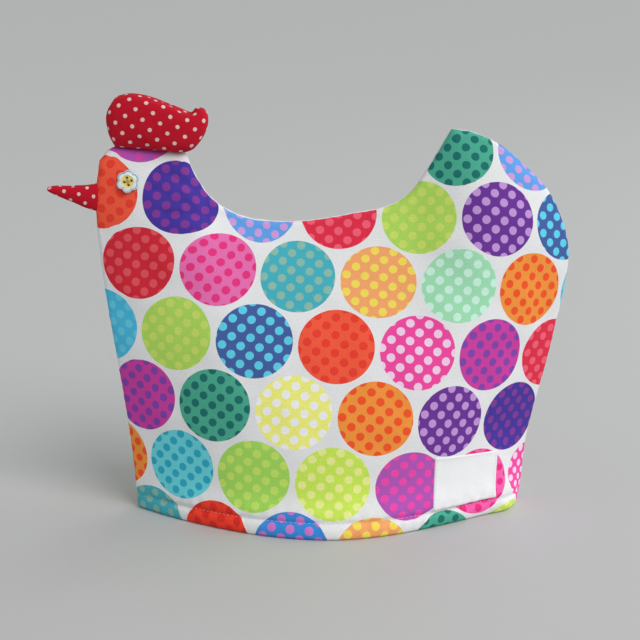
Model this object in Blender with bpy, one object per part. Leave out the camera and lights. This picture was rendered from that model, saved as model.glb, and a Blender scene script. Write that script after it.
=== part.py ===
"""Hen-shaped tea cosy: two padded cotton panels sewn together along the hen's
outline and open at the hem, with a stuffed comb and beak, two flower buttons
for eyes and a woven label.

Axes: X runs from the beak (-X) to the tail (+X), Y from the front panel (-Y)
to the back panel (+Y), Z is up. The cosy stands on its hem at Z = 0, and the
origin is below the middle of its bounding box. Tables are in millimetres.
"""

import math

import bmesh
import bpy
import numpy as np
from mathutils import Matrix, Vector
from mathutils.bvhtree import BVHTree

MM = 0.001

# ---- driving dimensions, in millimetres ---------------------------------
WALL = 5.0              # padded wall: print, wadding and facing together
SEAM_GAP = 0.3          # between pieces that are sewn to each other
HEM_DEPTH = 74.5        # the hollow's half depth at the hem
SIDE_POWER = 1.82       # how full the hollow is from side to side
TOP_POWER = 2.7         # how long the hollow stays deep going up
TOP_FULLNESS = 1.2      # how roundly it closes at the top seam
HEM_FLARE = 0.17        # the share of the depth that only the flared hem has
FLARE_RISE = 0.09       # how far up the panel that flare goes, as a share

TOP_COLUMNS = (5, 18, 7)    # mesh steps along the head, the back and the tail
PANEL_ROWS = 20             # mesh steps from the hem to the top seam
RIM_STEPS = 3               # mesh steps round the padded edge
LINE_STEPS = 16             # steps of a smooth line between two given points
MERGE_DISTANCE = 0.01       # points nearer than this are one
SHARP_DEGREES = 50          # edges sharper than this are shaded sharp

# The hollow's outline in the plane of the seam, WALL inside the outer one.
# Columns: x, z. A stretch ends where the outline has a corner.
BREAST = (
    (-121.0, 0.0), (-125.0, 51.0), (-133.0, 111.0), (-140.0, 160.0),
    (-144.3, 205.0), (-144.6, 230.0), (-142.0, 250.5),
)
HEAD_TOP = (
    (-142.0, 250.5), (-135.5, 257.0), (-127.0, 256.8), (-90.5, 253.0),
)
NECK_AND_BACK = (
    (-90.5, 253.0), (-85.2, 239.8), (-75.1, 224.3), (-62.2, 213.7),
    (-45.0, 206.4), (-19.0, 203.3), (6.5, 204.8), (30.0, 208.7),
    (53.5, 213.2), (71.0, 223.0), (84.0, 239.5), (100.0, 267.0),
)
TAIL_TOP = (
    (100.0, 267.0), (113.0, 264.3), (131.5, 255.0), (149.0, 240.5),
)
RUMP = (
    (146.3, 0.0), (148.5, 20.0), (150.5, 42.0), (154.3, 63.0),
    (164.5, 104.0), (170.7, 134.0), (175.3, 156.0), (178.0, 183.0),
    (173.0, 204.5), (163.0, 225.0), (149.0, 240.5),
)

# Where the padding stands fuller than the panel's own curve.
# Columns: x, z, radius, height.
PUFF_EDGE_POWER = 16        # how close to the seam a puff still stands out
PUFFS = (
    (-112.0, 222.0, 34.0, 4.5),     # head
    (122.0, 215.0, 48.0, 5.0),      # tail
    (60.0, 180.0, 50.0, -3.5),      # drawn in before the tail
    (132.0, 8.0, 36.0, 7.5),        # rump at the hem
    (143.0, 5.0, 15.0, 15.0),       # and its corner
)

# Comb, from the head's seam up. Columns: x, z.
COMB_BASE = (
    (-136.3, 262.8), (-115.0, 261.2), (-91.0, 259.1), (-80.0, 262.4),
)
COMB_FRONT = (
    (-136.3, 262.8), (-140.1, 272.5), (-141.0, 285.0), (-134.5, 296.0),
)
COMB_TOP = (
    (-134.5, 296.0), (-123.0, 298.6), (-108.0, 295.9), (-92.5, 289.7),
    (-83.5, 286.0), (-80.6, 285.6), (-77.0, 288.9),
)
COMB_BACK = (
    (-80.0, 262.4), (-73.0, 269.5), (-71.6, 280.0), (-77.0, 288.9),
)
COMB_HALF_DEPTH = 14.5
COMB_COLUMNS = 18
COMB_ROWS = 12

# Beak, from its tip to the seam at the face. Columns: x, z.
BEAK_LOWER = (
    (-182.8, 232.4), (-177.0, 229.0), (-166.0, 224.4), (-157.5, 220.2),
    (-150.6, 218.6),
)
BEAK_UPPER = (
    (-182.8, 234.2), (-177.0, 235.3), (-165.5, 235.2), (-156.0, 236.0),
    (-150.3, 237.0),
)
BEAK_HALF_DEPTH = 6.5
BEAK_COLUMNS = 12
BEAK_ROWS = 6

# Flower button: six petals, sewn flat against the head.
BUTTON_PLACE = (-126.8, 240.6)      # x, z
BUTTON_RADIUS = 7.6
BUTTON_PETALS = 6
PETAL_DEPTH = 0.8
BUTTON_THICKNESS = 2.6
BUTTON_EDGE = 0.5
BUTTON_POINTS = 36
BUTTON_FEELERS = 12                 # places where its rim is tried on the cloth

# Woven label on the front panel, just above the hem's stitching.
LABEL_BOTTOM = ((79.3, 13.7), (127.2, 14.2))    # x and z of its lower corners
LABEL_TOP = ((81.1, 49.5), (129.8, 47.0))       # and of its upper corners
LABEL_GAP = 0.6                         # clear of the panel's faceted curve
LABEL_THICKNESS = 1.0
LABEL_COLUMNS = 10
LABEL_ROWS = 6

COLOURS = {
    "print": ((0.80, 0.79, 0.78), 0.85),
    "spotted": ((0.46, 0.012, 0.03), 0.80),
    "button": ((0.80, 0.86, 0.86), 0.30),
    "label": ((0.82, 0.82, 0.80), 0.70),
}


# ---- curves and patches --------------------------------------------------
def smooth_line(points):
    """A Catmull-Rom line through the points, as a dense polyline."""
    given = np.array(points, float)
    first = 2 * given[0] - given[1]
    last = 2 * given[-1] - given[-2]
    knots = np.vstack([first, given, last])
    dense = []
    for a, b, c, d in zip(knots, knots[1:], knots[2:], knots[3:]):
        for u in np.arange(LINE_STEPS) / LINE_STEPS:
            dense.append(0.5 * (2 * b + (c - a) * u
                                + (2 * a - 5 * b + 4 * c - d) * u ** 2
                                + (3 * b - a - 3 * c + d) * u ** 3))
    dense.append(given[-1])
    return np.array(dense)


def edge(points, places):
    """Points of a smooth line at places from 0 to 1 of its length."""
    dense = smooth_line(points)
    length = np.r_[0, np.cumsum(np.hypot(*np.diff(dense, axis=0).T))]
    wanted = np.asarray(places) * length[-1]
    return np.stack([np.interp(wanted, length, dense[:, k]) for k in (0, 1)], -1)


def even(count):
    return np.linspace(0, 1, count + 1)


def joined(stretches, counts):
    """An edge with corners: each stretch has its own number of even steps."""
    pieces = [edge(stretch, even(count)) for stretch, count in zip(stretches, counts)]
    return np.vstack([pieces[0]] + [piece[1:] for piece in pieces[1:]])


def patch(lower, upper, left, right):
    """A Coons patch: points[column, row] filled in between four edges."""
    s = np.linspace(0, 1, len(lower))[:, None, None]
    t = np.linspace(0, 1, len(left))[None, :, None]
    across = (1 - t) * lower[:, None] + t * upper[:, None]
    along = (1 - s) * left[None] + s * right[None]
    corners = ((1 - s) * (1 - t) * lower[0] + s * (1 - t) * lower[-1]
               + (1 - s) * t * upper[0] + s * t * upper[-1])
    return across + along - corners


def grid_normals(points):
    """Unit normals of points[column, row, xyz], on the -Y side."""
    along = np.gradient(points, axis=0)
    up = np.gradient(points, axis=1)
    normals = np.cross(along, up)
    return normals / np.linalg.norm(normals, axis=-1, keepdims=True)


def grid_faces(index):
    """The quads of a grid of vertex numbers."""
    quads = np.stack([index[:-1, :-1], index[1:, :-1], index[1:, 1:], index[:-1, 1:]], -1)
    return [tuple(int(v) for v in quad) for quad in quads.reshape(-1, 4)]


# ---- objects ---------------------------------------------------------------
def make_object(name, points, faces, colour, collection):
    mesh = bpy.data.meshes.new(name)
    mesh.from_pydata([tuple(float(c) * MM for c in p) for p in points], [], faces)
    return add_object(name, mesh, colour, collection)


def close_up(mesh):
    """Merge doubled points and turn every face outwards."""
    work = bmesh.new()
    work.from_mesh(mesh)
    bmesh.ops.remove_doubles(work, verts=work.verts, dist=MERGE_DISTANCE * MM)
    bmesh.ops.recalc_face_normals(work, faces=work.faces)
    if work.calc_volume(signed=True) < 0:
        bmesh.ops.reverse_faces(work, faces=work.faces)
    work.to_mesh(mesh)
    work.free()


def add_object(name, mesh, colour, collection):
    close_up(mesh)
    mesh.shade_smooth()
    mesh.set_sharp_from_angle(angle=math.radians(SHARP_DEGREES))
    piece = bpy.data.objects.new(name, mesh)
    piece.data.materials.append(make_material(name, *COLOURS[colour]))
    collection.objects.link(piece)
    return piece


def make_material(name, colour, roughness):
    material = bpy.data.materials.new(name)
    material.use_nodes = True
    shader = material.node_tree.nodes["Principled BSDF"]
    shader.inputs["Base Color"].default_value = (*colour, 1.0)
    shader.inputs["Roughness"].default_value = roughness
    shader.inputs["Metallic"].default_value = 0.0
    return material


# ---- the two padded panels ---------------------------------------------
def hollow_surface(top_columns, rows):
    """The hollow's side of the front panel, from the hem to the top seam."""
    columns = sum(top_columns)
    lower = np.stack([np.linspace(BREAST[0][0], RUMP[0][0], columns + 1),
                      np.zeros(columns + 1)], -1)
    upper = joined((HEAD_TOP, NECK_AND_BACK, TAIL_TOP), top_columns)
    flat = patch(lower, upper, edge(BREAST, even(rows)), edge(RUMP, even(rows)))
    s = np.linspace(-1, 1, columns + 1)[:, None]
    t = np.linspace(0, 1, rows + 1)[None, :]
    side = 1 - np.abs(s) ** SIDE_POWER
    body = (1 - t ** TOP_POWER) ** TOP_FULLNESS
    flare = np.exp(-(t / FLARE_RISE) ** 2)
    depth = HEM_DEPTH * side * ((1 - HEM_FLARE) * body + HEM_FLARE * flare)
    inside = (1 - s ** PUFF_EDGE_POWER) * (1 - t ** PUFF_EDGE_POWER)
    for x, z, radius, height in PUFFS:
        distance = np.hypot(flat[..., 0] - x, flat[..., 1] - z)
        depth += height * np.exp(-(distance / radius) ** 2) * inside
    depth += SEAM_GAP / 2
    return np.stack([flat[..., 0], -depth, flat[..., 1]], -1)


def rim_path(columns, rows):
    """Grid places along the seam: up the breast, over the top, down the rump."""
    breast = [(0, row) for row in range(rows + 1)]
    top = [(column, rows) for column in range(1, columns)]
    rump = [(columns, row) for row in range(rows, -1, -1)]
    return breast + top + rump


def mitred(line):
    """How far each point of a line in the XZ plane goes when the line moves out."""
    run = np.diff(line, axis=0)
    run /= np.linalg.norm(run, axis=-1, keepdims=True)
    out = np.stack([-run[:, 2], 0 * run[:, 0], run[:, 0]], -1)
    before = np.vstack([out[:1], out])
    after = np.vstack([out, out[-1:]])
    return (before + after) / (1 + (before * after).sum(-1, keepdims=True))


def panel_points(top_columns, rows):
    """Inner grid, outer grid and the rings round the padded edge."""
    inner = hollow_surface(top_columns, rows)
    normals = grid_normals(inner)
    normals[:, 0, 2] = 0.0
    normals /= np.linalg.norm(normals, axis=-1, keepdims=True)
    outer = inner + WALL * normals
    rim = rim_path(sum(top_columns), rows)
    line = np.array([inner[place] for place in rim])
    outward = mitred(line)
    outward[[0, -1], 2] = 0.0
    reach = np.linalg.norm(outward, axis=-1, keepdims=True)
    outward /= reach
    facing = np.array([normals[place] for place in rim])
    angle = np.arccos((facing * outward).sum(-1, keepdims=True))
    rings = []
    for turn in even(RIM_STEPS)[1:]:
        toward = (np.sin((1 - turn) * angle) * facing + np.sin(turn * angle) * outward)
        toward /= np.sin(angle)
        rings.append(line + WALL * (1 + turn * (reach - 1)) * toward)
    return inner, outer, rim, rings


def make_panel(name, side, collection):
    """One panel as a closed wall; side is -1 for the front, 1 for the back."""
    inner, outer, rim, rings = panel_points(TOP_COLUMNS, PANEL_ROWS)
    points = np.vstack([inner.reshape(-1, 3), outer.reshape(-1, 3)] + rings)
    size = inner.shape[0] * inner.shape[1]
    inner_index = np.arange(size).reshape(inner.shape[:2])
    outer_index = inner_index + size
    bands = [[int(outer_index[place]) for place in rim]]
    for number in range(RIM_STEPS):
        start = 2 * size + number * len(rim)
        bands.append(list(range(start, start + len(rim))))
    bands.append([int(inner_index[place]) for place in rim])
    hem = np.stack([outer_index[:, 0], inner_index[:, 0]], -1)
    faces = grid_faces(outer_index) + grid_faces(inner_index)
    faces += grid_faces(np.array(bands).T) + grid_faces(hem)
    faces.append(tuple(band[0] for band in bands))
    faces.append(tuple(band[-1] for band in bands))
    points = points * (1, -side, 1)
    return make_object(name, points, faces, "print", collection)


# ---- stuffed pieces ------------------------------------------------------
def make_pillow(name, flat, half_depth, collection):
    """A stuffed shape: two equal halves, swelling between their four edges."""
    columns, rows = flat.shape[0] - 1, flat.shape[1] - 1
    s = np.sin(np.linspace(0, math.pi, columns + 1))[:, None]
    t = np.sin(np.linspace(0, math.pi, rows + 1))[None, :]
    depth = half_depth * np.sqrt(np.clip(s * t, 0, 1))
    front = np.stack([flat[..., 0], -depth, flat[..., 1]], -1)
    size = flat.shape[0] * flat.shape[1]
    front_index = np.arange(size).reshape(flat.shape[:2])
    back_index = front_index.copy()
    inner = np.arange(size, size + (columns - 1) * (rows - 1))
    back_index[1:-1, 1:-1] = inner.reshape(columns - 1, rows - 1)
    back = front[1:-1, 1:-1].reshape(-1, 3) * (1, -1, 1)
    points = np.vstack([front.reshape(-1, 3), back])
    faces = grid_faces(front_index) + grid_faces(back_index)
    return make_object(name, points, faces, "spotted", collection)


def swell_places(count):
    """Even steps of angle, so that lines crowd towards a pillow's seam."""
    return (1 - np.cos(np.linspace(0, math.pi, count + 1))) / 2


def make_comb(collection):
    along = swell_places(COMB_COLUMNS)
    up = swell_places(COMB_ROWS)
    flat = patch(edge(COMB_BASE, along), edge(COMB_TOP, along),
                 edge(COMB_FRONT, up), edge(COMB_BACK, up))
    return make_pillow("comb", flat, COMB_HALF_DEPTH, collection)


def make_beak(collection):
    along = swell_places(BEAK_COLUMNS)
    up = swell_places(BEAK_ROWS)
    tip = (BEAK_LOWER[0], BEAK_UPPER[0])
    face = (BEAK_LOWER[-1], BEAK_UPPER[-1])
    flat = patch(edge(BEAK_LOWER, along), edge(BEAK_UPPER, along),
                 edge(tip, up), edge(face, up))
    return make_pillow("beak", flat, BEAK_HALF_DEPTH, collection)


# ---- what is sewn on the panels ----------------------------------------
def surface_point(panel, side, x, z):
    """The panel's outer surface at x, z: a point and the way out of it."""
    tree = BVHTree.FromObject(panel, bpy.context.evaluated_depsgraph_get())
    start = Vector((x * MM, side * 1.0, z * MM))
    point, normal, _, _ = tree.ray_cast(start, Vector((0, -side, 0)))
    return point, normal


def resting_plane(panel, side, x, z, radius):
    """Where a flat disc of that radius touches the panel: a point and its normal."""
    centre, _ = surface_point(panel, side, x, z)
    around = []
    for step in range(BUTTON_FEELERS):
        angle = 2 * math.pi * step / BUTTON_FEELERS
        around.append(surface_point(panel, side, x + radius * math.cos(angle),
                                    z + radius * math.sin(angle)))
    normal = sum((item[1] for item in around), Vector()).normalized()
    highest = max((item[0] - centre).dot(normal) for item in around)
    return centre + normal * max(highest, 0.0), normal


def petal_outline():
    """The flower's outline, counter-clockwise."""
    outline = []
    for step in range(BUTTON_POINTS):
        angle = 2 * math.pi * step / BUTTON_POINTS
        dent = abs(math.sin(BUTTON_PETALS * angle / 2)) ** 0.5
        radius = BUTTON_RADIUS - BUTTON_EDGE - PETAL_DEPTH * (1 - dent)
        outline.append((radius * math.cos(angle), radius * math.sin(angle)))
    return outline


def make_button(name, panel, side, collection):
    curve = bpy.data.curves.new(name, "CURVE")
    curve.dimensions = "2D"
    curve.fill_mode = "BOTH"
    curve.extrude = (BUTTON_THICKNESS / 2 - BUTTON_EDGE) * MM
    curve.bevel_depth = BUTTON_EDGE * MM
    curve.bevel_resolution = 1
    spline = curve.splines.new("POLY")
    outline = petal_outline()
    spline.points.add(len(outline) - 1)
    for target, (x, y) in zip(spline.points, outline):
        target.co = (x * MM, y * MM, 0, 1)
    spline.use_cyclic_u = True
    shape = bpy.data.objects.new(name + "_outline", curve)
    collection.objects.link(shape)
    graph = bpy.context.evaluated_depsgraph_get()
    mesh = bpy.data.meshes.new_from_object(shape.evaluated_get(graph))
    bpy.data.objects.remove(shape)
    piece = add_object(name, mesh, "button", collection)
    point, normal = resting_plane(panel, side, *BUTTON_PLACE, BUTTON_RADIUS)
    turn = normal.to_track_quat("Z", "Y").to_matrix().to_4x4()
    lift = normal * (SEAM_GAP + BUTTON_THICKNESS / 2) * MM
    piece.matrix_world = Matrix.Translation(point + lift) @ turn
    return piece


def make_label(panel, collection):
    """The label follows the panel's curve, a small gap in front of it."""
    lower = np.array(LABEL_BOTTOM)
    upper = np.array(LABEL_TOP)
    shape = (LABEL_COLUMNS + 1, LABEL_ROWS + 1, 3)
    under = np.zeros(shape)
    for column in range(LABEL_COLUMNS + 1):
        for row in range(LABEL_ROWS + 1):
            up = row / LABEL_ROWS
            across = column / LABEL_COLUMNS
            left, right = (1 - up) * lower + up * upper
            x, z = (1 - across) * left + across * right
            point, normal = surface_point(panel, -1, x, z)
            under[column, row] = (point + normal * LABEL_GAP * MM) / MM
    out = grid_normals(under)
    over = under + LABEL_THICKNESS * out
    size = shape[0] * shape[1]
    under_index = np.arange(size).reshape(shape[:2])
    over_index = under_index + size
    around = rim_path(LABEL_COLUMNS, LABEL_ROWS)
    around += [(column, 0) for column in range(LABEL_COLUMNS - 1, -1, -1)]
    band = np.array([[over_index[place] for place in around],
                     [under_index[place] for place in around]]).T
    faces = grid_faces(over_index) + grid_faces(under_index) + grid_faces(band)
    points = np.vstack([under.reshape(-1, 3), over.reshape(-1, 3)])
    return make_object("label_patch", points, faces, "label", collection)


def main():
    for old in list(bpy.data.objects):
        bpy.data.objects.remove(old, do_unlink=True)
    collection = bpy.data.collections.new("tea_cosy")
    bpy.context.scene.collection.children.link(collection)
    front = make_panel("panel_front", -1, collection)
    back = make_panel("panel_back", 1, collection)
    make_comb(collection)
    make_beak(collection)
    bpy.context.view_layer.update()
    make_button("eye_button_front", front, -1, collection)
    make_button("eye_button_back", back, 1, collection)
    make_label(front, collection)


main()
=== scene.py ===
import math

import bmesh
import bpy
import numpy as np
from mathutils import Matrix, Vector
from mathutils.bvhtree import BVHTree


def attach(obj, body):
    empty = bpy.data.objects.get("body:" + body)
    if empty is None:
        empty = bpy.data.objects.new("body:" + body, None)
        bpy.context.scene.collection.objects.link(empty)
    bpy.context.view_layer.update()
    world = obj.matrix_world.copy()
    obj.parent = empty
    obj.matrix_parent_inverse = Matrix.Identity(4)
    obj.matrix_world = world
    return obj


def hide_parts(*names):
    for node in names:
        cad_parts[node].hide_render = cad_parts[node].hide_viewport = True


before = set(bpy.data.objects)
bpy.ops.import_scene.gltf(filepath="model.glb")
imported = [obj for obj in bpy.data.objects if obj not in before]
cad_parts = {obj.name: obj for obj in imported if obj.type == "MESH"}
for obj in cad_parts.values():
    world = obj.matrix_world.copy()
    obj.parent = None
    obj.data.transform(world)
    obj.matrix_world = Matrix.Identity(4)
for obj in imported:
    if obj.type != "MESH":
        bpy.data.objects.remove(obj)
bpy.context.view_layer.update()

# Looks of the hen-shaped tea cosy: dotted cotton over wadding, a stuffed comb
# and beak of pin-spotted cotton, flower buttons for eyes and a sewn label.
# X runs from the beak (-X) to the tail (+X), the front panel faces -Y, Z is up.
# Sizes and tables are in millimetres; MM turns them into Blender's metres.
# A place on the cloth is u to the right and v up, with the panel laid flat.

MM = 0.001

# ---- the panels, with the sizes in the part's own source
WALL = 5.0              # padded wall: print, wadding and facing together
HEM_DEPTH = 74.5        # the hollow's half depth at the hem
SIDE_POWER = 1.82       # how full the hollow is from side to side
TOP_POWER = 2.7         # how long the hollow stays deep going up
TOP_FULLNESS = 1.2      # how roundly it closes at the top seam
HEM_FLARE = 0.17        # the share of the depth that only the flared hem has
FLARE_RISE = 0.09       # how far up the panel that flare goes, as a share
HALF_SEAM = 0.15        # from the seam's plane to each panel

# The hollow's outline in the seam's plane. Columns: x, z.
BREAST = (
    (-121, 0), (-125, 51), (-133, 111), (-140, 160), (-144.3, 205), (-144.6, 230),
    (-142, 250.5),
)
HEAD_TOP = ((-142, 250.5), (-135.5, 257), (-127, 256.8), (-90.5, 253))
NECK_AND_BACK = (
    (-90.5, 253), (-85.2, 239.8), (-75.1, 224.3), (-62.2, 213.7), (-45, 206.4),
    (-19, 203.3), (6.5, 204.8), (30, 208.7), (53.5, 213.2), (71, 223), (84, 239.5),
    (100, 267),
)
TAIL_TOP = ((100, 267), (113, 264.3), (131.5, 255), (149, 240.5))
RUMP = (
    (146.3, 0), (148.5, 20), (150.5, 42), (154.3, 63), (164.5, 104), (170.7, 134),
    (175.3, 156), (178, 183), (173, 204.5), (163, 225), (149, 240.5),
)
TOP_SHARES = (0, 5 / 30, 23 / 30, 1)        # where the top edge's corners fall

# Where the padding stands fuller or is drawn in. Columns: x, z, radius, height.
PUFF_EDGE_POWER = 16    # how near the seams the puffs go
PUFFS = (
    (-112, 222, 34, 4.5),       # head
    (122, 215, 48, 5.0),        # tail
    (60, 180, 50, -3.5),        # before the tail
    (132, 8, 36, 7.5),          # rump at the hem
    (143, 5, 15, 15.0),         # and its corner
)

# ---- the stuffed pieces
# The source's shapes with the seams and the comb's tip fitted closer to the photo.
COMB_BASE = ((-135.8, 262.4), (-115, 260.7), (-91, 258.3), (-81.5, 260))
COMB_FRONT = ((-135.8, 262.4), (-140.1, 272.5), (-141, 285), (-134.5, 296.6))
COMB_TOP = (
    (-134.5, 296.6), (-123, 298.5), (-108, 295.3), (-92.5, 288.3), (-85.2, 285),
    (-82.2, 285.2), (-79.2, 288.6),
)
COMB_BACK = (
    (-81.5, 260), (-74.4, 269), (-71, 278), (-71.4, 284), (-74.2, 287.8), (-79.2, 288.6),
)
BEAK_LOWER = (
    (-182.8, 232.4), (-177, 229), (-166, 224.4), (-157.5, 220.2), (-150.6, 217.8),
    (-146.6, 217.4),
)
BEAK_UPPER = (
    (-182.8, 234.2), (-177, 235.3), (-165.5, 235), (-156, 235.6), (-150.3, 236.6),
    (-146.6, 237),
)
COMB_HALF_DEPTH = 14.5
BEAK_HALF_DEPTH = 6.5
PILLOW_SEAM = 0.10          # how far from the seam the gathers reach, as a share
PILLOW_GATHER = 0.16        # their height
PILLOW_GATHERS = ((4.0, 9.0), 10)           # lengths and number of waves
PILLOW_WAVE = 0.30          # the height of the stuffing's own unevenness
PILLOW_WAVES = ((14.0, 30.0), 8)
PILLOW_GROOVE = 0.75        # how deep the seam is drawn in
PILLOW_GROOVE_REACH = 0.035
PILLOW_FLATNESS = 0.96      # the stuffing's depth as its cloth is laid flat
BACK_ROLL = 7               # columns by which the back half's gathers differ

# ---- fine meshes
FINE_COLUMNS = (40, 150, 50)        # along the head, the back and the tail
FINE_STEP = 2.0                     # between rows of the panel's body
HEM_STEP = 0.5                      # between rows of the hem
HEM_ROUND_ROWS = 7                  # round the hem's lower edge
HEM_ROWS_TOP = 15.0                 # how far up the hem's fine rows go
PANEL_HEIGHT = 262.0                # a column's usual length over the panel
FLAT_COLUMNS = (8, 28, 10)          # the coarser grid that is laid out flat
FLAT_ROWS = 30
LEVEL_COLUMNS = 3                   # of it on each side that set the cloth level
LAY_ROUNDS = 30                     # of laying the cloth flat
LEAST_WEIGHT = 0.02                 # of a triangle's side in that
START_STRETCH = (1.12, 1.03)        # a first guess of the flat cloth's size
RIM_STEPS = 9                       # rings round the padded edge
PALE_EDGE = (-96.0, -30.0, 108.0)   # x where the seam shows white: from, to, to behind
PALE_EDGE_ABOVE = 150.0             # and from what height
PALE_TURN = 0.66                    # the share of the rim where the white begins
CORNER_SWEEPS = 120                 # how far the outline's corners are softened
CORNER_REACH = 0.07                 # over what share of the panel's width
CORNER_POWER = 10                   # and how near the top edge
LINE_STEPS = 16                     # steps of a smooth line between two points

# ---- sewing and padding
HEM_ROUND = 2.2             # radius of the hem's lower edges
UPRIGHT_RISE = 24.0         # below this the wall's thickness lies level
STITCH_HEIGHT = 10.5        # the hem's stitching above its edge
STITCH_SINK = 1.5           # how deep the stitching pulls the padding in
STITCH_SPREAD = 1.7         # half width of that groove
FACING_SINK = 1.05          # and how deep it is on the inner side
FACING_POWER = 0.25
HEM_SWELL = 0.9             # the hem's band stands this full
ABOVE_SWELL = 0.8           # and the padding above the stitching this full
ABOVE_SPREAD = 6.0
HEM_STITCH = (3.3, 2.6, 0.16, 0.42)     # pitch, length, radius and sink
HEM_STITCH_ENDS = 3         # columns without stitches at both side seams
LABEL_STITCH = (2.6, 2.0, 0.14, 0.25)
STITCH_JITTER = 0.08        # how uneven the stitches lie
STITCH_SHARES = (0, 0.12, 0.3, 0.5, 0.7, 0.88, 1)       # rings along a stitch
SEAM_SINK = 0.9             # groove where the two panels are sewn together
SEAM_TURN = 0.80            # the share of the rim after which it sinks
VISIBLE_GAP = 0.06          # from the seam's plane to each panel, as seen
SEAM_PUCKER = 0.16          # the gathers along the outline's seam
SEAM_PUCKERS = ((5.0, 11.0), 7)         # lengths and number of their waves
PUCKER_HEIGHT = 0.30        # the gathers along the hem's stitching
PUCKERS = ((4.9, 11.2), 6)
PUCKER_SLANT = 0.35         # how quickly they change going up
PUCKER_REACH = 9.0
WAVE_HEIGHT = 0.45          # the padding's own unevenness
WAVES = ((26.0, 62.0), 14)
WAVE_RISE = (8, 45)         # the heights over which it comes in
RELIEF_POWER = 14           # how near the seams the relief goes

# Creases by the neck and the comb, on the cloth laid flat.
# Columns: from u, from v, to u, to v, half width, height; troughs are negative.
NECK_CREASES = (
    (-116.2, 254.8, -97.3, 246.5, 3.2, -1.3),
    (-102.3, 229.8, -89.7, 227, 3, -1.3),
    (-105.8, 256.3, -100.4, 251.8, 2.6, 0.6),
    (-93.2, 246.3, -84.3, 241.6, 3, 0.5),
    (-121, 255, -110.5, 253.6, 2.6, -1.8),
    (-109, 247.8, -98.5, 245.4, 2.6, -1.8),
    (-118, 227, -97, 225.6, 3, -1.7),
    (-127, 243.6, -119, 241.8, 2.6, -1.6),
    (-112, 236, -102, 233.8, 2.6, -1.5),
)

# ---- the print
DOT_PITCH = 56.22           # between the dots of a row
ROW_SHARE = 0.9775          # the rows' pitch over that of an even triangle
ROW_SHEAR = -0.0464         # how far each row slips sideways
ROW_TURN = -0.0805          # radians, the rows' slope on the panel
FIRST_DOT = (-164.8, 243.0)
DOT_RADIUS = 26.3
DOT_HEIGHT = 0.98           # a dot's height over its width, as the cloth drew in
SPOT_STEP_A = (6.684, 5.648)            # from a small spot to its neighbours
SPOT_STEP_B = (-6.126, 6.763)
FIRST_SPOT = (-0.55, -1.06)
SPOT_RADIUS = 2.95
BACK_SHIFT = (-137.0, -11.0)            # the back panel is cut elsewhere in the cloth

# Where the cloth was eased in as it was sewn, most of all at the hem's right end.
# Columns: u, v, radius, and what the sewing adds there to the print's u and v.
EASED = (
    (-142, 236, 22, -1.5, 1.8), (-108, 258, 20, 1.2, -0.8), (-72, 212, 28, -4, 0),
    (-92, 242, 24, -2.4, 1.3), (-108, 264, 12, 0, 1), (-165, 268, 13, 0, 1),
    (-165, 212, 14, 0, 0.8), (-165, 24, 16, 0, -1.4), (-127, 2, 16, -2.4, 0),
    (-80, 0, 9, -2.4, 0), (-98, 190, 22, 0, -1.8), (-125, 4, 38, -0.6, -3),
    (60, 4, 24, 0, -3), (95, 5, 32, 1.5, -6), (150, 8, 28, 1.5, -12),
    (150, 75, 32, 0, -3.6), (75, 75, 40, -0.5, 1), (-115, 70, 35, 1, 0),
    (-60, 20, 40, 0.6, -0.6), (-95, 125, 60, 1.2, 0), (115, 170, 48, -1.6, 0),
    (55, 38, 22, -1.5, 0),
)

# The inks: ground and spot, as they look on the white cloth in sRGB.
INKS = {
    "coral": ((240, 85, 60), (220, 60, 45)),
    "indigo": ((65, 50, 145), (120, 55, 140)),
    "cornflower": ((90, 150, 215), (190, 145, 205)),
    "red": ((210, 45, 70), (225, 90, 110)),
    "lime": ((165, 205, 90), (190, 210, 100)),
    "purple": ((100, 50, 140), (180, 140, 200)),
    "navy": ((65, 90, 150), (90, 195, 220)),
    "crimson": ((200, 40, 55), (215, 80, 90)),
    "pink": ((215, 105, 165), (215, 50, 120)),
    "teal": ((65, 165, 180), (130, 175, 160)),
    "tan": ((240, 155, 100), (235, 205, 85)),
    "mint": ((150, 210, 170), (190, 230, 210)),
    "orange": ((250, 140, 60), (245, 80, 40)),
    "sky": ((70, 175, 210), (95, 190, 215)),
    "hot_pink": ((225, 70, 150), (235, 195, 220)),
    "magenta": ((190, 60, 150), (120, 65, 160)),
    "green": ((70, 160, 135), (30, 105, 100)),
    "yellow": ((230, 230, 120), (240, 240, 240)),
    "aqua": ((100, 200, 210), (45, 160, 185)),
    "leaf": ((155, 205, 90), (185, 215, 100)),
    "lemon": ((190, 220, 85), (220, 225, 140)),
    "orchid": ((165, 80, 170), (220, 70, 160)),
    "rose": ((230, 90, 160), (215, 45, 120)),
    "blue": ((55, 130, 205), (190, 115, 190)),
    "brick": ((230, 60, 40), (205, 45, 40)),
    "mauve": ((170, 80, 170), (200, 70, 160)),
}

# The repeat, charted: the rows of dots going down the cloth.
CHART = (
    ("coral", "indigo", "cornflower", "red", "lime", "purple", "navy"),
    ("crimson", "pink", "teal", "tan", "mint", "orange", "sky"),
    ("sky", "lime", "navy", "coral", "hot_pink", "magenta", "red"),
    ("magenta", "green", "yellow", "orange", "purple", "indigo", "rose"),
    ("orange", "aqua", "leaf", "lemon", "orchid", "rose", "hot_pink"),
    ("teal", "brick", "blue", "tan", "green", "lemon", "cornflower"),
    ("purple", "mint", "crimson", "sky", "orange", "magenta", "yellow"),
    ("mauve", "lemon", "aqua", "rose", "green", "cornflower", "teal"),
)
PAPER_WHITE = 0.807         # how bright a white sheet looks in the photo's light
INK_LIMITS = (0.008, 0.96)  # the darkest and the lightest that cloth can be
INK_EDGE = 0.12             # half width of a dot's soft edge
SPOT_EDGE = 0.02
BLOTCH_TONE = 0.05          # how much the print's ground varies

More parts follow.
